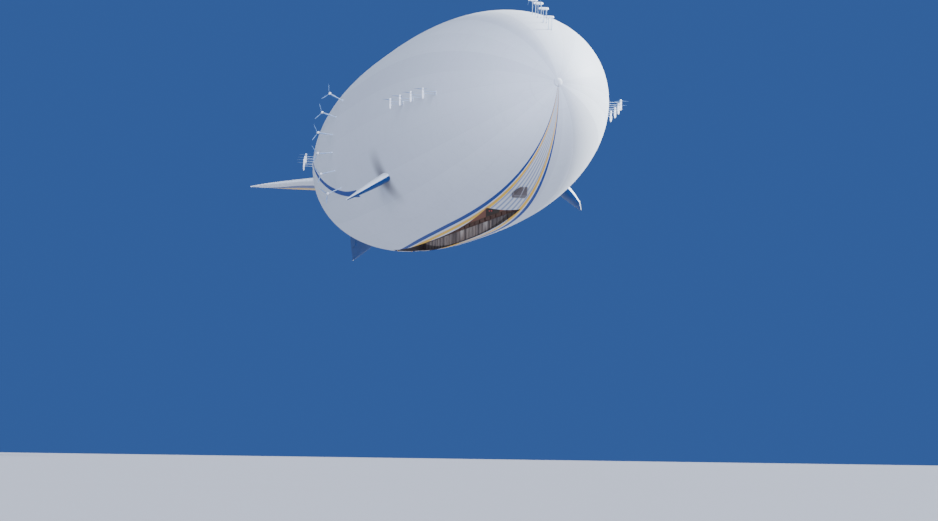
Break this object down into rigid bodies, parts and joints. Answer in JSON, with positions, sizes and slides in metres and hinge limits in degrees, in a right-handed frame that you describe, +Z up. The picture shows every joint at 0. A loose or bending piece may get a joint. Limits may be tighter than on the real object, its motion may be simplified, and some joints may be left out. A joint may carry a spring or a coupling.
{
  "type": "1:10 scale model of a rigid cargo airship",
  "caption": "Rigid cargo airship with an open-bottomed freight hold, belly cockpit, shoulder and tail fins, and rows of small propellers on struts.",
  "frame": {"origin": "on the hull axis at its thickest station, where the model is held up in the air", "axes": "+X towards the nose, +Y to port, +Z up"},
  "size_m": [16.544, 4.9874, 4.1517],
  "materials": {
    "hull_white": "satin coated fabric over a rigid frame",
    "fin_white": "satin paint",
    "fin_blue": "satin paint",
    "elevator_gold": "satin paint",
    "hold_grey": "dull ribbed lining",
    "beam_brown": "dull red-brown paint",
    "gantry_grey": "worn grey paint",
    "cabin_grey": "dull dark lining",
    "glass_dark": "smoked glazing",
    "nacelle_white": "gloss paint",
    "blade_grey": "satin composite"
  },
  "bodies": {
    "airframe": {"envelope": "hull_white", "nose_cap": "hull_white", "cargo_hold": "hold_grey", "hold_beam_port": "beam_brown", "hold_beam_starboard": "beam_brown", "hoist_gantry": "gantry_grey", "cockpit_cabin": "cabin_grey", "cockpit_glazing": "glass_dark", "tail_cone": "hull_white", "tail_fin_dorsal": "fin_blue", "tail_fin_port": "fin_white", "tail_fin_ventral": "fin_blue", "tail_fin_starboard": "fin_white", "shoulder_fin_port": "fin_white", "shoulder_fin_starboard": "fin_white", "pylons_top": "nacelle_white", "pylons_fore_port": "nacelle_white", "pylons_aft_port": "nacelle_white", "pylons_arc_port": "nacelle_white", "pylons_fore_starboard": "nacelle_white", "pylons_aft_starboard": "nacelle_white", "pylons_arc_starboard": "nacelle_white"},
    "rudder_dorsal": {"rudder_dorsal": "fin_blue"},
    "elevator_port": {"elevator_port": "elevator_gold"},
    "rudder_ventral": {"rudder_ventral": "fin_blue"},
    "elevator_starboard": {"elevator_starboard": "elevator_gold"},
    "propeller_top_1": {"propeller_top_1": "blade_grey"},
    "propeller_top_2": {"propeller_top_2": "blade_grey"},
    "propeller_top_3": {"propeller_top_3": "blade_grey"},
    "propeller_top_4": {"propeller_top_4": "blade_grey"},
    "propeller_fore_port_1": {"propeller_fore_port_1": "blade_grey"},
    "propeller_fore_port_2": {"propeller_fore_port_2": "blade_grey"},
    "propeller_fore_port_3": {"propeller_fore_port_3": "blade_grey"},
    "propeller_fore_port_4": {"propeller_fore_port_4": "blade_grey"},
    "propeller_aft_port_1": {"propeller_aft_port_1": "blade_grey"},
    "propeller_aft_port_2": {"propeller_aft_port_2": "blade_grey"},
    "propeller_aft_port_3": {"propeller_aft_port_3": "blade_grey"},
    "propeller_aft_port_4": {"propeller_aft_port_4": "blade_grey"},
    "propeller_arc_port_1": {"propeller_arc_port_1": "blade_grey"},
    "propeller_arc_port_2": {"propeller_arc_port_2": "blade_grey"},
    "propeller_arc_port_3": {"propeller_arc_port_3": "blade_grey"},
    "propeller_arc_port_4": {"propeller_arc_port_4": "blade_grey"},
    "propeller_arc_port_5": {"propeller_arc_port_5": "blade_grey"},
    "propeller_arc_port_6": {"propeller_arc_port_6": "blade_grey"},
    "propeller_fore_starboard_1": {"propeller_fore_starboard_1": "blade_grey"},
    "propeller_fore_starboard_2": {"propeller_fore_starboard_2": "blade_grey"},
    "propeller_fore_starboard_3": {"propeller_fore_starboard_3": "blade_grey"},
    "propeller_fore_starboard_4": {"propeller_fore_starboard_4": "blade_grey"},
    "propeller_aft_starboard_1": {"propeller_aft_starboard_1": "blade_grey"},
    "propeller_aft_starboard_2": {"propeller_aft_starboard_2": "blade_grey"},
    "propeller_aft_starboard_3": {"propeller_aft_starboard_3": "blade_grey"},
    "propeller_aft_starboard_4": {"propeller_aft_starboard_4": "blade_grey"},
    "propeller_arc_starboard_1": {"propeller_arc_starboard_1": "blade_grey"},
    "propeller_arc_starboard_2": {"propeller_arc_starboard_2": "blade_grey"},
    "propeller_arc_starboard_3": {"propeller_arc_starboard_3": "blade_grey"},
    "propeller_arc_starboard_4": {"propeller_arc_starboard_4": "blade_grey"},
    "propeller_arc_starboard_5": {"propeller_arc_starboard_5": "blade_grey"},
    "propeller_arc_starboard_6": {"propeller_arc_starboard_6": "blade_grey"}
  },
  "joints": [
    {"name": "spin_top_1", "type": "hinge", "parent": "airframe", "child": "propeller_top_1", "pos_m": [6.13, 0.0025, 1.76057], "axis": [0, -1, 0], "continuous": true},
    {"name": "spin_top_2", "type": "hinge", "parent": "airframe", "child": "propeller_top_2", "pos_m": [6.46, 0.0025, 1.6336], "axis": [0, -1, 0], "continuous": true},
    {"name": "spin_top_3", "type": "hinge", "parent": "airframe", "child": "propeller_top_3", "pos_m": [6.78, 0.0025, 1.47565], "axis": [0, -1, 0], "continuous": true},
    {"name": "spin_top_4", "type": "hinge", "parent": "airframe", "child": "propeller_top_4", "pos_m": [7.09, 0.0025, 1.26585], "axis": [0, -1, 0], "continuous": true},
    {"name": "spin_fore_port_1", "type": "hinge", "parent": "airframe", "child": "propeller_fore_port_1", "pos_m": [4.45, 2.12439, 0.085], "axis": [0, 0, 1], "continuous": true},
    {"name": "spin_fore_port_2", "type": "hinge", "parent": "airframe", "child": "propeller_fore_port_2", "pos_m": [4.89, 2.05269, 0.085], "axis": [0, 0, 1], "continuous": true},
    {"name": "spin_fore_port_3", "type": "hinge", "parent": "airframe", "child": "propeller_fore_port_3", "pos_m": [5.33, 1.96309, 0.085], "axis": [0, 0, 1], "continuous": true},
    {"name": "spin_fore_port_4", "type": "hinge", "parent": "airframe", "child": "propeller_fore_port_4", "pos_m": [5.77, 1.8512, 0.085], "axis": [0, 0, 1], "continuous": true},
    {"name": "spin_aft_port_1", "type": "hinge", "parent": "airframe", "child": "propeller_aft_port_1", "pos_m": [-3.36, 2.11265, 0.085], "axis": [0, 0, 1], "continuous": true},
    {"name": "spin_aft_port_2", "type": "hinge", "parent": "airframe", "child": "propeller_aft_port_2", "pos_m": [-3.78, 2.05587, 0.085], "axis": [0, 0, 1], "continuous": true},
    {"name": "spin_aft_port_3", "type": "hinge", "parent": "airframe", "child": "propeller_aft_port_3", "pos_m": [-4.2, 1.98849, 0.085], "axis": [0, 0, 1], "continuous": true},
    {"name": "spin_aft_port_4", "type": "hinge", "parent": "airframe", "child": "propeller_aft_port_4", "pos_m": [-4.62, 1.90903, 0.085], "axis": [0, 0, 1], "continuous": true},
    {"name": "spin_arc_port_1", "type": "hinge", "parent": "airframe", "child": "propeller_arc_port_1", "pos_m": [-0.86, 2.14992, 1.037], "axis": [-1, 0, 0], "continuous": true},
    {"name": "spin_arc_port_2", "type": "hinge", "parent": "airframe", "child": "propeller_arc_port_2", "pos_m": [-0.86, 2.30069, 0.63587], "axis": [-1, 0, 0], "continuous": true},
    {"name": "spin_arc_port_3", "type": "hinge", "parent": "airframe", "child": "propeller_arc_port_3", "pos_m": [-0.86, 2.37731, 0.21426], "axis": [-1, 0, 0], "continuous": true},
    {"name": "spin_arc_port_4", "type": "hinge", "parent": "airframe", "child": "propeller_arc_port_4", "pos_m": [-0.86, 2.37731, -0.21426], "axis": [-1, 0, 0], "continuous": true},
    {"name": "spin_arc_port_5", "type": "hinge", "parent": "airframe", "child": "propeller_arc_port_5", "pos_m": [-0.86, 2.30069, -0.63587], "axis": [-1, 0, 0], "continuous": true},
    {"name": "spin_arc_port_6", "type": "hinge", "parent": "airframe", "child": "propeller_arc_port_6", "pos_m": [-0.86, 2.14992, -1.037], "axis": [-1, 0, 0], "continuous": true},
    {"name": "spin_fore_starboard_1", "type": "hinge", "parent": "airframe", "child": "propeller_fore_starboard_1", "pos_m": [4.45, -2.12439, 0.085], "axis": [0, 0, 1], "continuous": true},
    {"name": "spin_fore_starboard_2", "type": "hinge", "parent": "airframe", "child": "propeller_fore_starboard_2", "pos_m": [4.89, -2.05269, 0.085], "axis": [0, 0, 1], "continuous": true},
    {"name": "spin_fore_starboard_3", "type": "hinge", "parent": "airframe", "child": "propeller_fore_starboard_3", "pos_m": [5.33, -1.96309, 0.085], "axis": [0, 0, 1], "continuous": true},
    {"name": "spin_fore_starboard_4", "type": "hinge", "parent": "airframe", "child": "propeller_fore_starboard_4", "pos_m": [5.77, -1.8512, 0.085], "axis": [0, 0, 1], "continuous": true},
    {"name": "spin_aft_starboard_1", "type": "hinge", "parent": "airframe", "child": "propeller_aft_starboard_1", "pos_m": [-3.36, -2.11265, 0.085], "axis": [0, 0, 1], "continuous": true},
    {"name": "spin_aft_starboard_2", "type": "hinge", "parent": "airframe", "child": "propeller_aft_starboard_2", "pos_m": [-3.78, -2.05587, 0.085], "axis": [0, 0, 1], "continuous": true},
    {"name": "spin_aft_starboard_3", "type": "hinge", "parent": "airframe", "child": "propeller_aft_starboard_3", "pos_m": [-4.2, -1.98849, 0.085], "axis": [0, 0, 1], "continuous": true},
    {"name": "spin_aft_starboard_4", "type": "hinge", "parent": "airframe", "child": "propeller_aft_starboard_4", "pos_m": [-4.62, -1.90903, 0.085], "axis": [0, 0, 1], "continuous": true},
    {"name": "spin_arc_starboard_1", "type": "hinge", "parent": "airframe", "child": "propeller_arc_starboard_1", "pos_m": [-0.86, -2.14992, 1.037], "axis": [-1, 0, 0], "continuous": true},
    {"name": "spin_arc_starboard_2", "type": "hinge", "parent": "airframe", "child": "propeller_arc_starboard_2", "pos_m": [-0.86, -2.30069, 0.63587], "axis": [-1, 0, 0], "continuous": true},
    {"name": "spin_arc_starboard_3", "type": "hinge", "parent": "airframe", "child": "propeller_arc_starboard_3", "pos_m": [-0.86, -2.37731, 0.21426], "axis": [-1, 0, 0], "continuous": true},
    {"name": "spin_arc_starboard_4", "type": "hinge", "parent": "airframe", "child": "propeller_arc_starboard_4", "pos_m": [-0.86, -2.37731, -0.21426], "axis": [-1, 0, 0], "continuous": true},
    {"name": "spin_arc_starboard_5", "type": "hinge", "parent": "airframe", "child": "propeller_arc_starboard_5", "pos_m": [-0.86, -2.30069, -0.63587], "axis": [-1, 0, 0], "continuous": true},
    {"name": "spin_arc_starboard_6", "type": "hinge", "parent": "airframe", "child": "propeller_arc_starboard_6", "pos_m": [-0.86, -2.14992, -1.037], "axis": [-1, 0, 0], "continuous": true},
    {"name": "turn_elevator_port", "type": "hinge", "parent": "airframe", "child": "elevator_port", "pos_m": [-8.05, 1.275, 0], "axis": [0, 1, 0], "range_deg": [-25, 25]},
    {"name": "turn_elevator_starboard", "type": "hinge", "parent": "airframe", "child": "elevator_starboard", "pos_m": [-8.05, -1.275, 0], "axis": [0, 1, 0], "range_deg": [-25, 25]},
    {"name": "turn_rudder_dorsal", "type": "hinge", "parent": "airframe", "child": "rudder_dorsal", "pos_m": [-7.56, 0, 1.06], "axis": [0, 0, 1], "range_deg": [-25, 25]},
    {"name": "turn_rudder_ventral", "type": "hinge", "parent": "airframe", "child": "rudder_ventral", "pos_m": [-7.56, 0, -1.06], "axis": [0, 0, 1], "range_deg": [-25, 25]}
  ]
}
